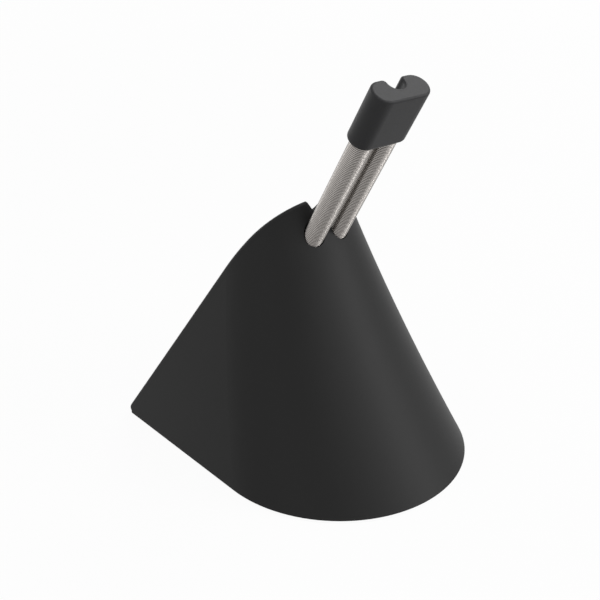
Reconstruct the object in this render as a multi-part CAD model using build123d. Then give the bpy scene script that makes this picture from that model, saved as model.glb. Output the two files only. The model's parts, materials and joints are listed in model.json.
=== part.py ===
from build123d import *
import math
import os

# A mouse bungee: a weighted, tapering housing whose two close-wound springs carry a grooved
# rubber cap for the mouse cable. Millimetres, +Z up, front towards -Y.

# Housing outline. Each level section is a round front arc with two straight side walls that splay
# a little towards the rear. Heights are above the lower edge of the housing.
base_radius = 32.0
base_length = 76.8
side_splay_deg = 2.12
radius_taper = 0.2782
centre_lean = 0.5008
centre_curl = 0.00233

# Rear face, as a profile across the full width: a straight slope, then an arc that flattens.
rear_slope_deg = 60.0
rear_straight_height = 53.7
rear_arc_radius = 54.3
rear_foot_round = 1.2
rear_foot_cut = 0.06
rim_round = 0.7

# Walls of the housing
shell_wall = 2.2
crown_thickness = 6.0
form_levels = 6

# Saddle between the two lobes of the ridge, behind the springs
saddle_depth = 4.8
saddle_floor_half = 1.52
saddle_wall_deg = 66.0
saddle_floor_round = 1.0
lobe_round = 1.3

# Arm: two parallel springs that lean forward. They leave the housing through its front, this far
# below the ridge, and distances along them are counted from there.
arm_elevation_deg = 59.4
arm_below_ridge = 6.98
spring_spacing = 7.15
spring_outer_diameter = 4.93
spring_wire = 0.45
spring_free_length = 28.96
spring_hole_clearance = 0.2

# Cap on the spring ends, with a groove for the cable
cap_width = 14.7
cap_thickness = 6.29
cap_length = 13.5
cap_top_round = 0.55
cap_low_round = 0.8
cable_groove_radius = 2.0
cable_groove_depth = 3.1
groove_lip_round = 1.0

# Stiff core inside the cap
core_depth = 9.0
core_side_margin = 0.3
cap_back_wall = 1.05
cap_lip_wall = 1.45
groove_side_lining = 0.9
groove_floor_lining = 0.8
core_corner_round = 0.6
spigot_length = 8.0
spigot_clearance = 0.05

# Holder and clamp for the lower spring ends. The holder sits as high as its ears fit inside.
holder_collar = 3.2
holder_length = 15.0
holder_side_wall = 1.4
holder_face_wall = 1.95
holder_ear_gap = 0.8
holder_head_gap = 0.3
holder_ear_half_depth = 2.8
holder_corner_round = 1.0
clamp_gap = 0.15
clamp_end_gap = 0.2
bore_clearance = 0.02
pin_clearance = 0.03
pin_chamfer = 0.3

# Screws
self_tap_radius = 1.25
thread_clearance = 0.02
pilot_spare = 0.6
shank_clearance = 0.1
pan_head_radius = 2.2
pan_head_height = 1.5
small_screw_radius = 0.8
small_head_radius = 1.6
small_head_height = 1.3
drive_slot_width = 0.6
drive_slot_depth = 0.7
holder_screw_edge = 2.6
holder_screw_length = 8.6
holder_boss_radius = 2.6
clamp_screw_first = 2.8
clamp_screw_pitch = 6.0
clamp_screw_length = 7.6
clamp_screw_reach = 3.3

# Base plate, posts, feet and weight
plate_thickness = 2.6
plate_fit_gap = 0.15
foot_radius = 5.5
foot_thickness = 1.4
foot_stand = 0.6
foot_fit_gap = 0.1
foot_edge_chamfer = 0.3
post_radius = 2.8
front_post_inset = 11.75
front_post_turn_deg = 57.1
rear_post_side_inset = 10.0
rear_post_end_inset = 13.95
base_screw_length = 10.0
countersink_radius = 2.3
countersink_depth = 1.2
weight_thickness = 7.0
weight_margin = 3.0
weight_post_gap = 1.2
weight_boss_radius = 3.2
weight_boss_height = 4.0
weight_boss_gap = 0.25
weight_screw_radius = 1.45
weight_screw_y = 8.0
weight_screw_x = 13.0
weight_screw_length = 6.4
weight_edge_chamfer = 0.8

# Values that follow from the housing's sizes
rear_foot_y = base_length - base_radius
rear_slope = math.radians(rear_slope_deg)
splay = math.radians(side_splay_deg)
rear_bend_y = rear_foot_y - rear_straight_height / math.tan(rear_slope)
rear_arc_y = rear_bend_y - rear_arc_radius * math.sin(rear_slope)
rear_arc_z = rear_straight_height - rear_arc_radius * math.cos(rear_slope)
far = 3 * base_length
STANDING = (Align.CENTER, Align.CENTER, Align.MIN)


def arc_radius(z):
    """Radius of the front arc at a height."""
    return base_radius - radius_taper * z


def arc_centre(z):
    """Y of the front arc's centre at a height: it leans back, and less so higher up."""
    return centre_lean * z - centre_curl * z * z


def front_face(z):
    """Y of the housing's front face on the centre line, at a height."""
    return arc_centre(z) - arc_radius(z)


def wall_across(wall):
    """A wall's thickness as a level cut shows it, on the sloping front."""
    return wall * math.hypot(1.0, radius_taper + centre_lean)


def ridge_height():
    """Height at which the front of the centre section meets the rear profile."""
    low, high = rear_straight_height, rear_arc_z + rear_arc_radius
    for _ in range(40):
        middle = (low + high) / 2
        angle = math.acos((middle - rear_arc_z) / rear_arc_radius)
        rear_y = rear_arc_y + rear_arc_radius * math.sin(angle)
        if front_face(middle) < rear_y:
            low = middle
        else:
            high = middle
    return (low + high) / 2


# Values that follow from the ridge
ridge_z = ridge_height()
form_top = ridge_z + rim_round * 4
cavity_top = ridge_z - crown_thickness
arm_elevation = math.radians(arm_elevation_deg)
arm_z = ridge_z - arm_below_ridge
arm_y = front_face(arm_z)
spring_radius = spring_outer_diameter / 2
spring_bore_radius = spring_radius - spring_wire
spring_x = spring_spacing / 2
holder_half_width = spring_x + spring_radius + holder_side_wall
holder_half_depth = spring_radius + holder_face_wall
holder_screw_x = holder_half_width + holder_head_gap + pan_head_radius
holder_ear_half_width = holder_screw_x + holder_screw_edge
groove_centre = cap_thickness / 2 - cable_groove_depth + cable_groove_radius
foot_recess = foot_thickness - foot_stand

# The part's frame: origin under the middle of the footprint, on the surface it stands on.
part_frame = Pos(0, base_radius - base_length / 2, foot_stand)
arm_frame = Plane(
    origin=(0, arm_y, arm_z),
    x_dir=(1, 0, 0),
    z_dir=(0, -math.cos(arm_elevation), math.sin(arm_elevation)),
).location
front_post_turn = math.radians(front_post_turn_deg)
front_post_x = (base_radius - front_post_inset) * math.sin(front_post_turn)
front_post_y = -(base_radius - front_post_inset) * math.cos(front_post_turn)
rear_post_x = base_radius - rear_post_side_inset
rear_post_y = rear_foot_y - rear_post_end_inset
post_places = [
    (-front_post_x, front_post_y),
    (front_post_x, front_post_y),
    (-rear_post_x, rear_post_y),
    (rear_post_x, rear_post_y),
]
foot_names = ["front_left_foot", "front_right_foot", "rear_left_foot", "rear_right_foot"]


def holder_distance():
    """Distance down the arm from which the holder's ears clear the inside of the front wall."""
    room = holder_ear_half_width + holder_ear_gap
    low, high = 0.0, arm_z
    for _ in range(40):
        middle = (low + high) / 2
        y = arm_y + middle * math.cos(arm_elevation) - holder_ear_half_depth * math.sin(arm_elevation)
        z = arm_z - middle * math.sin(arm_elevation) - holder_ear_half_depth * math.cos(arm_elevation)
        radius = arc_radius(z) - wall_across(shell_wall)
        if radius**2 - (arc_centre(z) - y) ** 2 < room**2:
            low = middle
        else:
            high = middle
    return (low + high) / 2


holder_top = holder_distance()


def level_section(z, inset):
    """One level section, drawn inwards by an inset: front arc, two side lines and a far rear line."""
    radius = arc_radius(z) - inset
    centre = arc_centre(z)
    side_x = radius * math.cos(splay)
    side_y = centre - radius * math.sin(splay)
    back_y = rear_foot_y + base_radius
    back_x = side_x + (back_y - side_y) * math.tan(splay)
    outline = [
        ThreePointArc((-side_x, side_y), (0, centre - radius), (side_x, side_y)),
        Line((side_x, side_y), (back_x, back_y)),
        Line((back_x, back_y), (-back_x, back_y)),
        Line((-back_x, back_y), (-side_x, side_y)),
    ]
    return Pos(0, 0, z) * make_face(Wire(outline))


def rear_region(inset, foot_round):
    """The space in front of the rear profile, drawn inwards by an inset."""
    shift_y = inset * math.sin(rear_slope)
    shift_z = inset * math.cos(rear_slope)
    radius = rear_arc_radius - inset
    top_angle = math.acos((form_top - rear_arc_z) / rear_arc_radius)
    mid_angle = (rear_slope + top_angle) / 2
    bend = (rear_bend_y - shift_y, rear_straight_height - shift_z)
    middle = (rear_arc_y + radius * math.sin(mid_angle), rear_arc_z + radius * math.cos(mid_angle))
    top = (rear_arc_y + radius * math.sin(top_angle), rear_arc_z + radius * math.cos(top_angle))
    low_z = -base_radius if foot_round == 0 else -rear_foot_cut
    foot = (bend[0] + (bend[1] - low_z) / math.tan(rear_slope), low_z)
    outline = [
        Line((-far, low_z), foot),
        Line(foot, bend),
        ThreePointArc(bend, middle, top),
        Line(top, (-far, top[1])),
        Line((-far, top[1]), (-far, low_z)),
    ]
    face = make_face(Wire(outline))
    if foot_round > 0:
        corner = face.vertices().sort_by(Axis.X)[-1]
        face = fillet(corner, foot_round)
    upright = Plane.YZ.location * face
    return extrude(upright, amount=far, both=True)


def housing_form(inset, low, high, foot_round=0.0):
    """The housing's form drawn inwards by an inset, between two heights."""
    step = (form_top + base_radius / 2) / (form_levels - 1)
    levels = [-base_radius / 2 + step * index for index in range(form_levels)]
    form = loft([level_section(z, wall_across(inset)) for z in levels])
    slab = Pos(0, 0, (low + high) / 2) * Box(far, far, high - low)
    return form & rear_region(inset, foot_round) & slab


def saddle_cutter():
    """U-shaped cutter with sloping walls, which leaves a rounded lobe on each side of the ridge."""
    top_z = ridge_z - rim_round / 2
    floor_z = ridge_z - saddle_depth
    rise = top_z - floor_z
    top_half = saddle_floor_half + rise / math.tan(math.radians(saddle_wall_deg))
    points = [
        (-base_radius, top_z),
        (-top_half, top_z),
        (-saddle_floor_half, floor_z),
        (saddle_floor_half, floor_z),
        (top_half, top_z),
        (base_radius, top_z),
        (base_radius, form_top + base_radius),
        (-base_radius, form_top + base_radius),
    ]
    face = make_face(Polyline(*points, close=True))
    corners = face.vertices()
    floor_corners = [v for v in corners if abs(v.Y - floor_z) < 0.01]
    face = fillet(floor_corners, saddle_floor_round)
    lobe_corners = [v for v in face.vertices() if abs(abs(v.X) - top_half) < 0.01]
    face = fillet(lobe_corners, lobe_round)
    return extrude(Plane.XZ.location * face, amount=far, both=True)


def rod_on_arm(x, radius, low, high):
    """A round rod beside the arm's centre line, between two distances along it."""
    return arm_frame * (Pos(x, 0, low) * Cylinder(radius, high - low, align=STANDING))


def arm_bar(half_width, low_b, high_b, low, high, corner=0.0):
    """A rectangular bar along the arm, with its long edges rounded."""
    size_b = high_b - low_b
    face = RectangleRounded(2 * half_width, size_b, corner) if corner > 0 else Rectangle(2 * half_width, size_b)
    bar = extrude(Pos(0, (low_b + high_b) / 2, low) * face, amount=high - low)
    return arm_frame * bar


def screw(shank_radius, length, head_radius, head_height):
    """A pan-head screw along +Z with its head below z = 0, and a cross recess in the head."""
    shank = Pos(0, 0, length / 2) * Cylinder(shank_radius, length)
    head = Pos(0, 0, -head_height / 2) * Cylinder(head_radius, head_height)
    lower_edge = head.edges().filter_by(GeomType.CIRCLE).sort_by(Axis.Z)[0]
    head = chamfer(lower_edge, head_height * 0.3)
    slot = Pos(0, 0, -head_height + drive_slot_depth / 2)
    cross = slot * Box(head_radius, drive_slot_width, drive_slot_depth)
    cross += slot * Box(drive_slot_width, head_radius, drive_slot_depth)
    return shank + head - cross


def countersunk_screw(shank_radius, length, head_radius, head_depth):
    """A countersunk screw along +Z with its flat face at z = 0."""
    shank = Pos(0, 0, length / 2) * Cylinder(shank_radius, length)
    head = Pos(0, 0, head_depth / 2) * Cone(head_radius, shank_radius, head_depth)
    slot = Pos(0, 0, drive_slot_depth / 2)
    cross = slot * Box(head_radius, drive_slot_width, drive_slot_depth)
    cross += slot * Box(drive_slot_width, head_radius, drive_slot_depth)
    return shank + head - cross


def make_outer_form():
    """The housing's outside: rounded rear rim and ridge, then the saddle between the lobes."""
    form = housing_form(0.0, 0.0, form_top, rear_foot_round)

    def on_rear_profile(edge):
        for place in (0.05, 0.5, 0.95):
            point = edge @ place
            if point.Z > rear_straight_height:
                gap = math.hypot(point.Y - rear_arc_y, point.Z - rear_arc_z) - rear_arc_radius
            else:
                run = (point.Y - rear_bend_y) * math.sin(rear_slope)
                gap = run + (point.Z - rear_straight_height) * math.cos(rear_slope)
            if abs(gap) > 0.02:
                return False
        return True

    rim = [edge for edge in form.edges() if on_rear_profile(edge) and abs((edge % 0.5).X) < 0.99]
    ridge = [edge for edge in form.edges() if on_rear_profile(edge) and abs((edge @ 0.5).X) < 0.01]
    ridge = [edge for edge in ridge if edge.geom_type != GeomType.LINE]
    form = fillet(rim + ridge, rim_round)
    return form - saddle_cutter()


def make_body_shell():
    """The housing: outer form, hollow, with spring holes, screw posts and holder bosses."""
    outer = make_outer_form()
    shell = outer - housing_form(shell_wall, -base_radius / 2, cavity_top)
    for x, y in post_places:
        post = Pos(x, y, plate_thickness) * Cylinder(post_radius, form_top, align=STANDING)
        shell += post & outer
    for side in (-1, 1):
        boss = rod_on_arm(side * holder_screw_x, holder_boss_radius, -holder_top, spring_free_length)
        shell += boss & outer
    pilot_radius = self_tap_radius + thread_clearance
    post_pilot_depth = foot_recess + base_screw_length + pilot_spare
    boss_pilot_top = holder_screw_length - holder_collar - holder_top + pilot_spare
    hole_radius = spring_radius + spring_hole_clearance
    for x, y in post_places:
        shell -= Pos(x, y, 0) * Cylinder(pilot_radius, post_pilot_depth, align=STANDING)
    for side in (-1, 1):
        shell -= rod_on_arm(side * spring_x, hole_radius, -holder_top, spring_free_length)
        shell -= rod_on_arm(side * holder_screw_x, pilot_radius, -holder_top, boss_pilot_top)
    return shell


def make_base_plate():
    """The plate under the housing, with foot recesses, countersinks and two bosses for the weight."""
    plate = housing_form(shell_wall + plate_fit_gap, 0.0, plate_thickness)
    shank_hole = self_tap_radius + shank_clearance
    sink_radius = countersink_radius + shank_clearance
    for x, y in post_places:
        plate -= Pos(x, y, 0) * Cylinder(foot_radius + foot_fit_gap, foot_recess, align=STANDING)
        plate -= Pos(x, y, 0) * Cylinder(shank_hole, plate_thickness, align=STANDING)
        plate -= Pos(x, y, foot_recess) * Cone(sink_radius, shank_hole, countersink_depth, align=STANDING)
    for side in (-1, 1):
        boss_place = Pos(side * weight_screw_x, weight_screw_y, plate_thickness)
        plate += boss_place * Cylinder(weight_boss_radius, weight_boss_height, align=STANDING)
        pilot_low = plate_thickness + weight_thickness - weight_screw_length - pilot_spare
        pilot_place = Pos(side * weight_screw_x, weight_screw_y, pilot_low)
        plate -= pilot_place * Cylinder(weight_screw_radius + thread_clearance, weight_thickness, align=STANDING)
    return plate


def make_ballast_weight():
    """The cast weight: follows the housing inside, and makes room for the posts and bosses."""
    top = plate_thickness + weight_thickness
    weight = housing_form(shell_wall + weight_margin, plate_thickness, top)
    upper_edges = weight.edges().group_by(Axis.Z)[-1]
    weight = chamfer(upper_edges, weight_edge_chamfer)
    for x, y in post_places:
        weight -= Pos(x, y, 0) * Cylinder(post_radius + weight_post_gap, form_top, align=STANDING)
    for side in (-1, 1):
        place = Pos(side * weight_screw_x, weight_screw_y, plate_thickness)
        room = weight_boss_height + weight_boss_gap
        weight -= place * Cylinder(weight_boss_radius + weight_boss_gap, room, align=STANDING)
        weight -= place * Cylinder(weight_screw_radius + shank_clearance, weight_thickness, align=STANDING)
    return weight


def make_feet():
    """Four rubber discs, each half sunk in its recess."""
    feet = {}
    for name, (x, y) in zip(foot_names, post_places):
        disc = Cylinder(foot_radius, foot_thickness, align=STANDING)
        lower_edge = disc.edges().group_by(Axis.Z)[0]
        disc = chamfer(lower_edge, foot_edge_chamfer)
        feet[name] = Pos(x, y, -foot_stand) * disc
    return feet


def make_spring_holder():
    """The holder: a collar with ears round both springs, and half bores behind them."""
    low = -holder_top - holder_length
    collar_low = -holder_top - holder_collar
    back = arm_bar(holder_half_width, 0.0, holder_half_depth, low, -holder_top, holder_corner_round)
    collar = arm_bar(
        holder_half_width, -holder_half_depth, holder_half_depth, collar_low, -holder_top, holder_corner_round
    )
    ears = arm_bar(
        holder_ear_half_width, -holder_ear_half_depth, holder_ear_half_depth, collar_low, -holder_top,
        holder_corner_round,
    )
    flat = arm_bar(holder_half_width, -holder_half_depth, 0.0, low, collar_low)
    holder = back + collar + ears - flat
    for side in (-1, 1):
        holder -= rod_on_arm(side * spring_x, spring_radius + bore_clearance, low, -holder_top)
        hole = self_tap_radius + shank_clearance
        holder -= rod_on_arm(side * holder_screw_x, hole, collar_low, -holder_top)
    for along in clamp_screw_places():
        pilot = Pos(0, 0, -along) * Rot(-90, 0, 0) * Cylinder(
            small_screw_radius + thread_clearance, 2 * (clamp_screw_reach + pilot_spare / 2)
        )
        holder -= arm_frame * pilot
    return holder


def make_holder_clamp():
    """The plate that closes over the front of both springs."""
    low = -holder_top - holder_length
    high = -holder_top - holder_collar - clamp_end_gap
    clamp = arm_bar(holder_half_width, -holder_half_depth, -clamp_gap, low, high)
    clamp = fillet(outer_front_edges(clamp), holder_corner_round)
    for side in (-1, 1):
        clamp -= rod_on_arm(side * spring_x, spring_radius + bore_clearance, low, high)
    for along in clamp_screw_places():
        hole = Cylinder(small_screw_radius + shank_clearance, 3 * holder_half_depth)
        clamp -= arm_frame * (Pos(0, 0, -along) * Rot(-90, 0, 0) * hole)
    return clamp


def outer_front_edges(bar):
    """The two long edges on the front of a bar that lies along the arm."""
    along = Axis((0, 0, 0), (0, -math.cos(arm_elevation), math.sin(arm_elevation)))
    forward = Axis((0, 0, 0), (0, -math.sin(arm_elevation), -math.cos(arm_elevation)))
    return bar.edges().filter_by(along).group_by(forward)[-1]


def clamp_screw_places():
    """Distances of the clamp's two screws down the arm from the front face."""
    first = holder_top + holder_collar + clamp_screw_first
    return [first, first + clamp_screw_pitch]


def make_springs():
    """Two close-wound springs, each as the tube that its touching turns form."""
    low = -holder_top - holder_length
    springs = {}
    for name, side in (("left_spring", -1), ("right_spring", 1)):
        tube = rod_on_arm(side * spring_x, spring_radius, low, spring_free_length)
        tube -= rod_on_arm(side * spring_x, spring_bore_radius, low, spring_free_length)
        springs[name] = tube
    return springs


def make_spring_pins():
    """Steel pins that keep the clamped spring ends round."""
    low = -holder_top - holder_length
    pins = {}
    for name, side in (("left_spring_pin", -1), ("right_spring_pin", 1)):
        pin = Cylinder(spring_bore_radius - pin_clearance, holder_length)
        pin = chamfer(pin.edges().filter_by(GeomType.CIRCLE), pin_chamfer)
        pins[name] = arm_frame * (Pos(side * spring_x, 0, low + holder_length / 2) * pin)
    return pins


def cap_section():
    """The cap across the arm: a bar with fully round ends, and the cable groove with rounded lips."""
    half_thickness = cap_thickness / 2
    groove = Pos(0, groove_centre) * Circle(cable_groove_radius)
    groove += Pos(0, half_thickness) * Rectangle(2 * cable_groove_radius, 2 * (half_thickness - groove_centre))
    section = SlotOverall(cap_width, cap_thickness) - groove
    lips = [
        corner for corner in section.vertices()
        if abs(abs(corner.X) - cable_groove_radius) < 0.01 and corner.Y > half_thickness - 0.01
    ]
    return fillet(lips, groove_lip_round)


def make_cap_core():
    """The stiff insert: a channel under the cable groove, with a spigot for each spring."""
    low = -cap_thickness / 2 + cap_back_wall
    high = cap_thickness / 2 - cap_lip_wall
    half_width = spring_x + spring_bore_radius + core_side_margin
    web_high = groove_centre - cable_groove_radius - groove_floor_lining
    block = Pos(0, (high + low) / 2) * RectangleRounded(2 * half_width, high - low, core_corner_round)
    channel = Pos(0, (web_high + high + core_corner_round) / 2) * Rectangle(
        2 * (cable_groove_radius + groove_side_lining), high + core_corner_round - web_high
    )
    core = extrude(Pos(0, 0, spring_free_length) * (block - channel), amount=core_depth)
    for side in (-1, 1):
        spigot = Cylinder(spring_bore_radius - spigot_clearance, spigot_length, align=STANDING)
        spigot = chamfer(spigot.edges().filter_by(GeomType.CIRCLE).group_by(Axis.Z)[0], pin_chamfer)
        core += Pos(side * spring_x, 0, spring_free_length - spigot_length) * spigot
    return arm_frame * core


def make_cable_cap():
    """The rubber cap: rounded at both ends, with the pocket that the core fills."""
    block = extrude(Pos(0, 0, spring_free_length) * cap_section(), amount=cap_length)
    block = fillet(block.edges().group_by(Axis.Z)[-1], cap_top_round)
    block = fillet(block.edges().group_by(Axis.Z)[0], cap_low_round)
    return arm_frame * block - make_cap_core()


def make_screws():
    """All screws, as one group of like solids for each place."""
    pan = screw(self_tap_radius, holder_screw_length, pan_head_radius, pan_head_height)
    small = screw(small_screw_radius, clamp_screw_length, small_head_radius, small_head_height)
    weight = screw(weight_screw_radius, weight_screw_length, pan_head_radius, pan_head_height)
    flush = countersunk_screw(self_tap_radius, base_screw_length, countersink_radius, countersink_depth)
    collar_low = -holder_top - holder_collar
    weight_top = plate_thickness + weight_thickness
    return {
        "base_screws": [Pos(x, y, foot_recess) * flush for x, y in post_places],
        "ballast_screws": [
            Pos(side * weight_screw_x, weight_screw_y, weight_top) * Rot(180, 0, 0) * weight for side in (-1, 1)
        ],
        "holder_screws": [arm_frame * (Pos(side * holder_screw_x, 0, collar_low) * pan) for side in (-1, 1)],
        "clamp_screws": [
            arm_frame * (Pos(0, -holder_half_depth, -along) * Rot(-90, 0, 0) * small)
            for along in clamp_screw_places()
        ],
    }


def build_parts():
    """Every sub-part by name, each a solid or a group of like solids."""
    parts = {
        "body_shell": make_body_shell(),
        "base_plate": make_base_plate(),
        "ballast_weight": make_ballast_weight(),
        "spring_holder": make_spring_holder(),
        "holder_clamp": make_holder_clamp(),
        "cap_core": make_cap_core(),
        "cable_cap": make_cable_cap(),
    }
    parts.update(make_feet())
    parts.update(make_springs())
    parts.update(make_spring_pins())
    for name, screws in make_screws().items():
        parts[name] = Compound(screws)
    return parts


def main():
    """Place each sub-part in the part's frame and write it."""
    os.makedirs("parts", exist_ok=True)
    for name, shape in build_parts().items():
        export_step(part_frame * shape, os.path.join("parts", name + ".step"))


main()
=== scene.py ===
"""Looks of a mouse bungee: a matt moulded housing, two close-wound springs and a grooved rubber cap.

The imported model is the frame. Its solids keep their shapes and get their finishes here. The two
springs are wound from wire, in place of the plain tubes that stand for them in the frame.
"""

from __future__ import annotations

import json
import logging
import math
from dataclasses import dataclass
from enum import Enum
from typing import Any

import bpy
import numpy as np
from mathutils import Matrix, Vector

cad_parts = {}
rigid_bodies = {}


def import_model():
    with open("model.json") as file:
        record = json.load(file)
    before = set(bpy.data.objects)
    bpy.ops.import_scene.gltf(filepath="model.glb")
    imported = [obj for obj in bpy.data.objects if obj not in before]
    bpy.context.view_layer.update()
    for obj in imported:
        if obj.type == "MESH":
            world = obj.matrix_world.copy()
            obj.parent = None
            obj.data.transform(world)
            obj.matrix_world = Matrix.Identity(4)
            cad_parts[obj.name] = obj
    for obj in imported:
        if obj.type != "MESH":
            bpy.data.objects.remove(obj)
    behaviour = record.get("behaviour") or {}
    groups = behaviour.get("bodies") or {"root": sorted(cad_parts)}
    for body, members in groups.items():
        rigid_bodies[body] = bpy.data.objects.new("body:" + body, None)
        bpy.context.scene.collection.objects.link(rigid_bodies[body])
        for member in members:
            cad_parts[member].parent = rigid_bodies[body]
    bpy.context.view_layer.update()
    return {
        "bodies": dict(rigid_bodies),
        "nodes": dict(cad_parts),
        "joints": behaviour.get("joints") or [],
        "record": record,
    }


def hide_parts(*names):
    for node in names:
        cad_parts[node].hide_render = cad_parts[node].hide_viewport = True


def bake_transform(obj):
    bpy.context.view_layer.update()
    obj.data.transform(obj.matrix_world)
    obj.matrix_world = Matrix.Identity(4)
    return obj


LOG = logging.getLogger("mouse_bungee")
MM = 0.001


def linear_colour(code: str) -> tuple[float, float, float, float]:
    """Turns an sRGB colour code into the linear colour that a shader works with.

    Args:
        code: Hex colour such as "#a0a0a0".

    Returns:
        Red, green, blue and an opacity of one.
    """
    parts = [int(code[start : start + 2], 16) / 255 for start in (1, 3, 5)]
    linear = [part / 12.92 if part <= 0.04045 else ((part + 0.055) / 1.055) ** 2.4 for part in parts]
    return (linear[0], linear[1], linear[2], 1.0)


WHITE = linear_colour("#ffffff")


def add_node(
    tree: bpy.types.NodeTree,
    kind: str,
    settings: dict[str, Any] | None = None,
    inputs: dict[str | int, Any] | None = None,
) -> bpy.types.Node:
    """Adds one node, with its own settings and with its sockets filled or linked.

    Args:
        tree: Node tree that receives the node.
        kind: Blender's name for the type of node.
        settings: Values of the node's own properties.
        inputs: For a socket's name or number, its value or the output socket to link from.

    Returns:
        The new node.
    """
    node = tree.nodes.new(kind)
    for name, value in (settings or {}).items():
        setattr(node, name, value)
    for socket, value in (inputs or {}).items():
        if isinstance(value, bpy.types.NodeSocket):
            tree.links.new(value, node.inputs[socket])
        else:
            node.inputs[socket].default_value = value
    return node


def per_metre(size_mm: float) -> float:
    """Gives the scale of a pattern on Object coordinates whose grains measure size_mm."""
    return 1.0 / (size_mm * MM)


class Grain(Enum):
    """How the surface of a finish breaks up, seen close."""

    SPARK_ERODED = "fine even pits, from a tool surface that was spark eroded"
    MOULDED_RUBBER = "soft shallow mottle, from a bead-blasted rubber mould"
    AS_CAST = "coarse rounded lumps, from a sand mould"
    DRAWN = "fine lines, from a drawing die"


# Octaves of the noise in each grain: finely broken on a spark-eroded skin, soft on rubber.
GRAIN_DETAIL = {Grain.SPARK_ERODED: 3.0, Grain.MOULDED_RUBBER: 1.0, Grain.DRAWN: 2.0}
GRAIN_NOISE_ROUGHNESS = 0.5
# Drawn lines run on for twenty grains along the height.
DRAWN_STRETCH = (1.0, 1.0, 0.05)
CAST_LUMP_SMOOTHNESS = 0.8
MOTTLE_DETAIL = 4.0
MOTTLE_NOISE_ROUGHNESS = 0.6


@dataclass(frozen=True)
class Finish:
    """A surface finish: one shader with a grain in its normals and a faint mottle in its colour."""

    name: str
    colour: str
    mottle_colour: str
    roughness: float
    metallic: float = 0.0
    specular_level: float = 0.5
    ior: float = 1.5
    grain: Grain = Grain.SPARK_ERODED
    grain_mm: float = 0.3
    grain_depth_mm: float = 0.01
    mottle_mm: float = 14.0
    roughness_swing: float = 0.05

    def relief(self, tree: bpy.types.NodeTree, place: bpy.types.NodeSocket) -> bpy.types.NodeSocket:
        """Height of the surface's grain, from zero to one.

        Args:
            tree: Node tree of the material.
            place: Object coordinates.

        Returns:
            Rounded lumps for a casting, lines along the height for drawn metal, and an even noise
            for moulded skins, softer on rubber than on plastic.
        """
        if self.grain is Grain.AS_CAST:
            lumps = add_node(
                tree,
                "ShaderNodeTexVoronoi",
                {"feature": "SMOOTH_F1"},
                {
                    "Vector": place,
                    "Scale": per_metre(self.grain_mm),
                    "Smoothness": CAST_LUMP_SMOOTHNESS,
                },
            )
            return lumps.outputs["Distance"]
        if self.grain is Grain.DRAWN:
            place = add_node(
                tree, "ShaderNodeMapping", inputs={"Vector": place, "Scale": DRAWN_STRETCH}
            ).outputs["Vector"]
        noise = add_node(
            tree,
            "ShaderNodeTexNoise",
            inputs={
                "Vector": place,
                "Scale": per_metre(self.grain_mm),
                "Detail": GRAIN_DETAIL[self.grain],
                "Roughness": GRAIN_NOISE_ROUGHNESS,
            },
        )
        return noise.outputs["Fac"]

    def make(self) -> bpy.types.Material:
        """Builds the material.

        Returns:
            A node material that reads Object coordinates.
        """
        material = bpy.data.materials.new(self.name)
        material.use_nodes = True
        tree = material.node_tree
        tree.nodes.clear()
        place = add_node(tree, "ShaderNodeTexCoord").outputs["Object"]
        mottle = add_node(
            tree,
            "ShaderNodeTexNoise",
            inputs={
                "Vector": place,
                "Scale": per_metre(self.mottle_mm),
                "Detail": MOTTLE_DETAIL,
                "Roughness": MOTTLE_NOISE_ROUGHNESS,
            },
        ).outputs["Fac"]
        colour = add_node(
            tree,
            "ShaderNodeMix",
            {"data_type": "RGBA"},
            {0: mottle, 6: linear_colour(self.colour), 7: linear_colour(self.mottle_colour)},
        ).outputs[2]
        grain = self.relief(tree, place)
        roughness = add_node(
            tree,
            "ShaderNodeMapRange",
            inputs={
                "Value": grain,
                "To Min": self.roughness - self.roughness_swing,
                "To Max": self.roughness + self.roughness_swing,
            },
        ).outputs["Result"]
        bump = add_node(
            tree,
            "ShaderNodeBump",
            inputs={"Strength": 1.0, "Distance": self.grain_depth_mm * MM, "Height": grain},
        ).outputs["Normal"]
        shader = add_node(
            tree,
            "ShaderNodeBsdfPrincipled",
            inputs={
                "Base Color": colour,
                "Metallic": self.metallic,
                "Roughness": roughness,
                "IOR": self.ior,
                "Specular IOR Level": self.specular_level,
                "Normal": bump,
            },
        ).outputs["BSDF"]
        add_node(tree, "ShaderNodeOutputMaterial", inputs={"Surface": shader})
        return material


# Real moulded pits and drawing lines measure a tenth of a millimetre or less. Here they are drawn
# a few times coarser, so that they show.

# Moulded ABS of the housing: matt near-black, whose spark-eroded skin spreads every reflection.
SHELL_ABS = Finish(
    "spark_eroded_black_abs", "#141414", "#161616", roughness=0.5, specular_level=0.15, ior=1.54,
    grain_mm=0.35, grain_depth_mm=0.004, mottle_mm=18.0,
)
# The same ABS for the plate below, from a plainer tool, so it is a little smoother.
PLATE_ABS = Finish(
    "moulded_black_abs", "#1b1b1b", "#1e1e1e", roughness=0.42, specular_level=0.3, ior=1.54,
    grain_mm=0.5, grain_depth_mm=0.003, mottle_mm=18.0,
)
# Soft moulded rubber of the cap: dark grey, with a low broad sheen and no clear reflection.
CAP_RUBBER = Finish(
    "moulded_grey_rubber", "#212122", "#242425", roughness=0.5, specular_level=0.2, ior=1.52,
    grain=Grain.MOULDED_RUBBER, grain_mm=0.3, grain_depth_mm=0.006, mottle_mm=6.0,
)
# Harder moulded rubber of the feet: black and dull, with almost no sheen.
FOOT_RUBBER = Finish(
    "moulded_black_rubber", "#161616", "#1b1b1b", roughness=0.8, specular_level=0.3, ior=1.52,
    grain=Grain.MOULDED_RUBBER, grain_mm=0.4, grain_depth_mm=0.01, mottle_mm=4.0,
)
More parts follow.
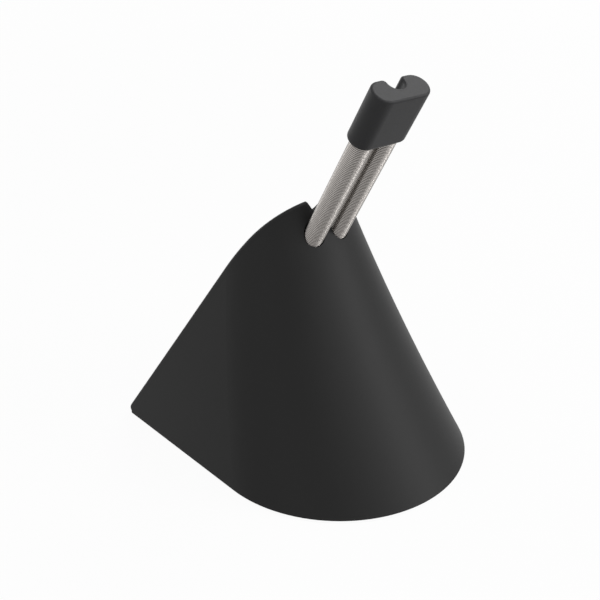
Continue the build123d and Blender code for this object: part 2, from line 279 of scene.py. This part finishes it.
# Drawn and coiled spring wire: warm grey plated steel, whose turns mirror the lamps softly.
SPRING_WIRE = Finish(
    "drawn_plated_spring_wire", "#918d89", "#9c9895", roughness=0.25, metallic=1.0,
    grain=Grain.DRAWN, grain_mm=0.15, grain_depth_mm=0.001, mottle_mm=2.0,
)
# Ground steel of the pins inside the springs: bright, with fine lines.
PIN_STEEL = Finish(
    "ground_steel", "#b4b4b2", "#a6a6a6", roughness=0.25, metallic=1.0,
    grain=Grain.DRAWN, grain_mm=0.2, grain_depth_mm=0.001, mottle_mm=3.0,
)
# Zinc-plated steel of the screws: bright, with a faint blue cast.
SCREW_STEEL = Finish(
    "zinc_plated_steel", "#aeb2b8", "#a3a7a8", roughness=0.32, metallic=1.0,
    grain=Grain.DRAWN, grain_mm=0.2, grain_depth_mm=0.001, mottle_mm=1.5,
)
# Cast iron of the weight, as it left the sand: dull dark grey with rounded lumps.
CAST_IRON = Finish(
    "sand_cast_iron", "#4a4845", "#5a5752", roughness=0.62, metallic=1.0,
    grain=Grain.AS_CAST, grain_mm=0.9, grain_depth_mm=0.06, mottle_mm=5.0,
)
# Black nylon of the holder, clamp and core, glossier than the housing.
HOLDER_NYLON = Finish(
    "moulded_black_nylon", "#1a1a1c", "#222224", roughness=0.38, specular_level=0.4, ior=1.53,
    grain_mm=0.6, grain_depth_mm=0.004, mottle_mm=5.0,
)


def dress(frame: dict[str, Any], names: tuple[str, ...], finish: Finish) -> None:
    """Gives CAD nodes their finish in the material slots that they came with.

    Args:
        names: Nodes that share the finish.
        finish: The finish to give them.
    """
    material = finish.make()
    for name in names:
        for slot in frame["nodes"][name].material_slots:
            slot.material = material
        LOG.info("dressed %s in %s", name, finish.name)


def closed_tube_mesh(name: str, rings: np.ndarray) -> bpy.types.Mesh:
    """Joins rings of points into a tube whose two ends are closed by flat faces.

    Args:
        name: Name of the new mesh.
        rings: Points as an array of ring, place on the ring, and x, y and z.

    Returns:
        A mesh with outward faces, smooth along the tube.
    """
    ring_count, ring_size = rings.shape[:2]
    ring, place = np.meshgrid(np.arange(ring_count - 1), np.arange(ring_size), indexing="ij")
    after = (place + 1) % ring_size
    corners = (
        ring * ring_size + place,
        ring * ring_size + after,
        (ring + 1) * ring_size + after,
        (ring + 1) * ring_size + place,
    )
    quads = np.stack(corners, axis=-1).reshape(-1, 4)
    first_end = np.arange(ring_size)[::-1]
    last_end = np.arange(ring_size) + (ring_count - 1) * ring_size
    mesh = bpy.data.meshes.new(name)
    faces = [*quads.tolist(), first_end.tolist(), last_end.tolist()]
    mesh.from_pydata(rings.reshape(-1, 3).tolist(), [], faces)
    smooth = np.ones(len(mesh.polygons), bool)
    smooth[-2:] = False
    mesh.polygons.foreach_set("use_smooth", smooth)
    mesh.update()
    return mesh


@dataclass(frozen=True)
class WoundSpring:
    """A close-wound spring of round wire, wound inside the place of its CAD tube."""

    node: str
    piece: str
    wire_mm: float = 0.45
    rings_per_turn: int = 36
    points_round_wire: int = 10
    mouth_below_cap_mm: float = 28.96

    def wind(self, tube: np.ndarray, axis: np.ndarray) -> tuple[np.ndarray, np.ndarray]:
        """Winds the wire inside a tube, to the right.

        The wire's centre runs on a helix: it turns about the tube's line at the tube's radius less
        half a wire, and climbs one wire's thickness each turn. A point of the wire's skin is that
        centre, plus half a wire times the cosine of an angle outwards and its sine along the tube.

        Args:
            tube: Points of the tube, one a row.
            axis: Unit direction of the tube, upwards.

        Returns:
            Rings of points along the wire, and the upper end of the tube's centre line.
        """
        sideways = np.array((1.0, 0.0, 0.0))
        forward = np.cross(sideways, axis)
        low, high = (tube @ axis).min(), (tube @ axis).max()
        middle = [((tube @ way).min() + (tube @ way).max()) / 2 for way in (sideways, forward)]
        centre = sideways * middle[0] + forward * middle[1]
        tube_radius = ((tube @ sideways).max() - (tube @ sideways).min()) / 2
        wire = self.wire_mm * MM
        half_wire = wire / 2
        coil_radius = tube_radius - half_wire
        turns = (high - low - wire) / wire

        turn = np.linspace(0.0, turns, int(turns * self.rings_per_turn))[:, None, None]
        skin = np.linspace(0.0, 2 * math.pi, self.points_round_wire, endpoint=False)[None, :, None]
        angle = 2 * math.pi * turn
        outward = np.cos(angle) * sideways - np.sin(angle) * forward
        spine = centre + outward * coil_radius + axis * (low + half_wire + turn * wire)
        rings = spine + half_wire * (np.cos(skin) * outward + np.sin(skin) * axis)
        LOG.info("%s: %.0f turns of %.2f mm wire", self.piece, turns, self.wire_mm)
        return rings, centre + axis * high

    def build(self, frame: dict[str, Any], along: Vector) -> None:
        """Winds a straight coil in its CAD tube and puts it in place of the tube.

        Args:
            along: Unit direction of the arm, from the housing to the cap.
        """
        tube_mesh = frame["nodes"][self.node].data
        tube = np.empty(len(tube_mesh.vertices) * 3)
        tube_mesh.vertices.foreach_get("co", tube)
        rings, upper_end = self.wind(tube.reshape(-1, 3), np.array(along))
        mesh = closed_tube_mesh(self.piece, rings)
        mesh.materials.append(bpy.data.materials.get(SPRING_WIRE.name) or SPRING_WIRE.make())
        spring = bpy.data.objects.new(self.piece, mesh)
        bpy.context.scene.collection.objects.link(spring)
        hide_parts(self.node)
        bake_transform(spring)


@dataclass
class Arm:
    """The springing arm: two springs, the pins in their lower ends, the cap and its core."""

    springs: tuple[WoundSpring, ...] = (
        WoundSpring("left_spring", "left_spring_coil"),
        WoundSpring("right_spring", "right_spring_coil"),
    )

    def build(self, frame: dict[str, Any]) -> None:
        """Winds the springs and dresses the rest of the arm.
        """
        groove = next(mount for mount in frame["record"]["mounts"] if mount["name"] == "cable_groove")
        along = Vector(groove["axis"]).normalized()
        for spring in self.springs:
            spring.build(frame, along)
        dress(frame, ("cable_cap",), CAP_RUBBER)
        dress(frame, ("cap_core",), HOLDER_NYLON)
        dress(frame, ("left_spring_pin", "right_spring_pin"), PIN_STEEL)


@dataclass
class Housing:
    """The moulded housing and what it holds: plate, weight, holder, clamp, screws and feet."""

    feet: tuple[str, ...] = ("front_left_foot", "front_right_foot", "rear_left_foot", "rear_right_foot")
    screws: tuple[str, ...] = ("base_screws", "ballast_screws", "holder_screws", "clamp_screws")

    def build(self, frame: dict[str, Any]) -> None:
        """Dresses every node of the housing.
        """
        dress(frame, ("body_shell",), SHELL_ABS)
        dress(frame, ("base_plate",), PLATE_ABS)
        dress(frame, ("ballast_weight",), CAST_IRON)
        dress(frame, ("spring_holder", "holder_clamp"), HOLDER_NYLON)
        dress(frame, self.feet, FOOT_RUBBER)
        dress(frame, self.screws, SCREW_STEEL)


@dataclass(frozen=True)
class Softbox:
    """A square studio lamp that faces the object."""

    name: str
    bearing_deg: float
    height_deg: float
    side_m: float
    power_w: float
    distance_m: float = 0.9

    def build(self, target: Vector) -> None:
        """Places the lamp at its bearing, from the front towards the right, and its height.

        Args:
            target: Point that the lamp faces.
        """
        bearing, height = math.radians(self.bearing_deg), math.radians(self.height_deg)
        away = Vector((
            math.sin(bearing) * math.cos(height),
            -math.cos(bearing) * math.cos(height),
            math.sin(height),
        ))
        data = bpy.data.lights.new(self.name, "AREA")
        data.shape = "SQUARE"
        data.size = self.side_m
        data.energy = self.power_w
        lamp = bpy.data.objects.new(self.name, data)
        lamp.location = target + away * self.distance_m
        lamp.rotation_euler = away.to_track_quat("Z", "Y").to_euler()
        bpy.context.scene.collection.objects.link(lamp)
        LOG.info("%s at %.0f degrees, %.1f W", self.name, self.bearing_deg, self.power_w)


@dataclass
class Studio:
    """A pale floor, a white surround, soft lamps and the photograph's camera."""

    target_m: tuple[float, float, float] = (0.0, 0.0, 0.035)
    ambient: float = 0.12
    floor_radius_m: float = 3.0
    floor_sides: int = 64
    floor_colour: str = "#dcdcdc"
    floor_glow: float = 0.95
    floor_fade_m: tuple[float, float] = (0.25, 1.2)
    camera_place_m: tuple[float, float, float] = (-0.13553, -0.16049, 0.14100)
    camera_bearing_deg: float = -38.858
    camera_height_deg: float = 26.375
    lens_mm: float = 59.0
    sensor_mm: float = 36.0
    clip_m: tuple[float, float] = (0.01, 20.0)
    # Each lamp's name, bearing and height in degrees, side in metres and power in watts.
    lamps: tuple[Softbox, ...] = (
        Softbox("key_softbox", 43.0, 22.0, 0.3, 2.1),
        Softbox("wide_key_softbox", 43.0, 35.0, 0.8, 0.6),
        Softbox("low_key_softbox", 43.0, 8.0, 0.3, 0.3),
        Softbox("front_right_softbox", 22.0, 22.0, 0.3, 0.9),
        Softbox("front_softbox", 0.0, 45.0, 0.3, 1.0),
        Softbox("left_softbox", -70.0, 15.0, 0.5, 0.6),
        Softbox("top_softbox", 0.0, 65.0, 0.8, 1.9),
        Softbox("back_left_softbox", -120.0, 35.0, 1.0, 1.7),
        Softbox("right_softbox", 105.0, 45.0, 0.3, 0.2),
        Softbox("high_right_softbox", 85.0, 56.0, 0.3, 2.6),
        Softbox("rim_left_softbox", -165.0, 15.0, 0.3, 1.2),
        Softbox("rim_right_softbox", 125.0, 12.0, 0.3, 0.8),
    )

    def seen_directly(self, tree: bpy.types.NodeTree) -> bpy.types.NodeSocket:
        """Tells the rays that see a surface from those that only light something with it.

        Args:
            tree: Node tree of the material or the world.

        Returns:
            One for a ray from the camera, off a glossy surface or through glass, and else zero.
        """
        path = add_node(tree, "ShaderNodeLightPath")
        either = add_node(
            tree,
            "ShaderNodeMath",
            {"operation": "MAXIMUM"},
            {0: path.outputs["Is Camera Ray"], 1: path.outputs["Is Glossy Ray"]},
        )
        return add_node(
            tree,
            "ShaderNodeMath",
            {"operation": "MAXIMUM"},
            {0: either.outputs[0], 1: path.outputs["Is Transmission Ray"]},
        ).outputs[0]

    def build_surround(self) -> None:
        """White where it is seen or mirrored, and a dimmer even light on the object."""
        world = bpy.data.worlds.new("white_surround")
        bpy.context.scene.world = world
        world.use_nodes = True
        tree = world.node_tree
        tree.nodes.clear()
        light = add_node(
            tree, "ShaderNodeBackground", inputs={"Color": WHITE, "Strength": self.ambient}
        )
        backdrop = add_node(tree, "ShaderNodeBackground", inputs={"Color": WHITE, "Strength": 1.0})
        mixed = add_node(
            tree,
            "ShaderNodeMixShader",
            inputs={0: self.seen_directly(tree), 1: light.outputs[0], 2: backdrop.outputs[0]},
        )
        add_node(tree, "ShaderNodeOutputWorld", inputs={"Surface": mixed.outputs[0]})

    def build_floor(self) -> None:
        """A round pale floor that is white where it is seen, takes a shadow and shows the underside.

        Near the object the paper itself gives a small share of what is seen, and so its shadow.
        That share fades with the distance from the middle, so the floor ends without an edge. From
        below the floor is clear.
        """
        turn = np.linspace(0.0, 2 * math.pi, self.floor_sides, endpoint=False)
        rim = np.stack((np.cos(turn), np.sin(turn), np.zeros_like(turn)), axis=1) * self.floor_radius_m
        mesh = bpy.data.meshes.new("floor")
        mesh.from_pydata(rim.tolist(), [], [list(range(len(rim)))])
        floor = bpy.data.objects.new("floor", mesh)
        bpy.context.scene.collection.objects.link(floor)
        material = bpy.data.materials.new("pale_paper_sweep")
        material.use_nodes = True
        tree = material.node_tree
        tree.nodes.clear()
        paper = add_node(
            tree, "ShaderNodeBsdfDiffuse", inputs={"Color": linear_colour(self.floor_colour)}
        )
        glow = add_node(tree, "ShaderNodeEmission", inputs={"Color": WHITE, "Strength": 1.0})
        place = add_node(tree, "ShaderNodeTexCoord").outputs["Object"]
        distance = add_node(
            tree, "ShaderNodeVectorMath", {"operation": "LENGTH"}, {0: place}
        ).outputs["Value"]
        near, far = self.floor_fade_m
        glow_share = add_node(
            tree,
            "ShaderNodeMapRange",
            inputs={
                "Value": distance,
                "From Min": near,
                "From Max": far,
                "To Min": self.floor_glow,
                "To Max": 1.0,
            },
        ).outputs["Result"]
        share = add_node(
            tree,
            "ShaderNodeMath",
            {"operation": "MULTIPLY"},
            {0: self.seen_directly(tree), 1: glow_share},
        )
        upper = add_node(
            tree,
            "ShaderNodeMixShader",
            inputs={0: share.outputs[0], 1: paper.outputs[0], 2: glow.outputs[0]},
        )
        clear = add_node(tree, "ShaderNodeBsdfTransparent")
        below = add_node(tree, "ShaderNodeNewGeometry").outputs["Backfacing"]
        mixed = add_node(
            tree, "ShaderNodeMixShader", inputs={0: below, 1: upper.outputs[0], 2: clear.outputs[0]}
        )
        add_node(tree, "ShaderNodeOutputMaterial", inputs={"Surface": mixed.outputs[0]})
        mesh.materials.append(material)

    def build_camera(self) -> None:
        """The photograph's camera, from the front left and above."""
        data = bpy.data.cameras.new("photo_camera")
        data.lens = self.lens_mm
        data.sensor_width = self.sensor_mm
        data.clip_start, data.clip_end = self.clip_m
        camera = bpy.data.objects.new("photo_camera", data)
        camera.location = self.camera_place_m
        tilt = math.radians(90.0 - self.camera_height_deg)
        camera.rotation_euler = (tilt, 0.0, math.radians(self.camera_bearing_deg))
        bpy.context.scene.collection.objects.link(camera)
        bpy.context.scene.camera = camera

    def build(self) -> None:
        """Sets up the surround, the floor, the lamps and the camera."""
        bpy.context.scene.view_settings.view_transform = "Standard"
        self.build_surround()
        self.build_floor()
        for lamp in self.lamps:
            lamp.build(Vector(self.target_m))
        self.build_camera()


def main() -> None:
    """Loads the frame, dresses it and sets up the studio."""
    logging.basicConfig(level=logging.INFO, format="%(message)s")
    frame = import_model()
    Housing().build(frame)
    Arm().build(frame)
    Studio().build()


if __name__ == "__main__":
    main()
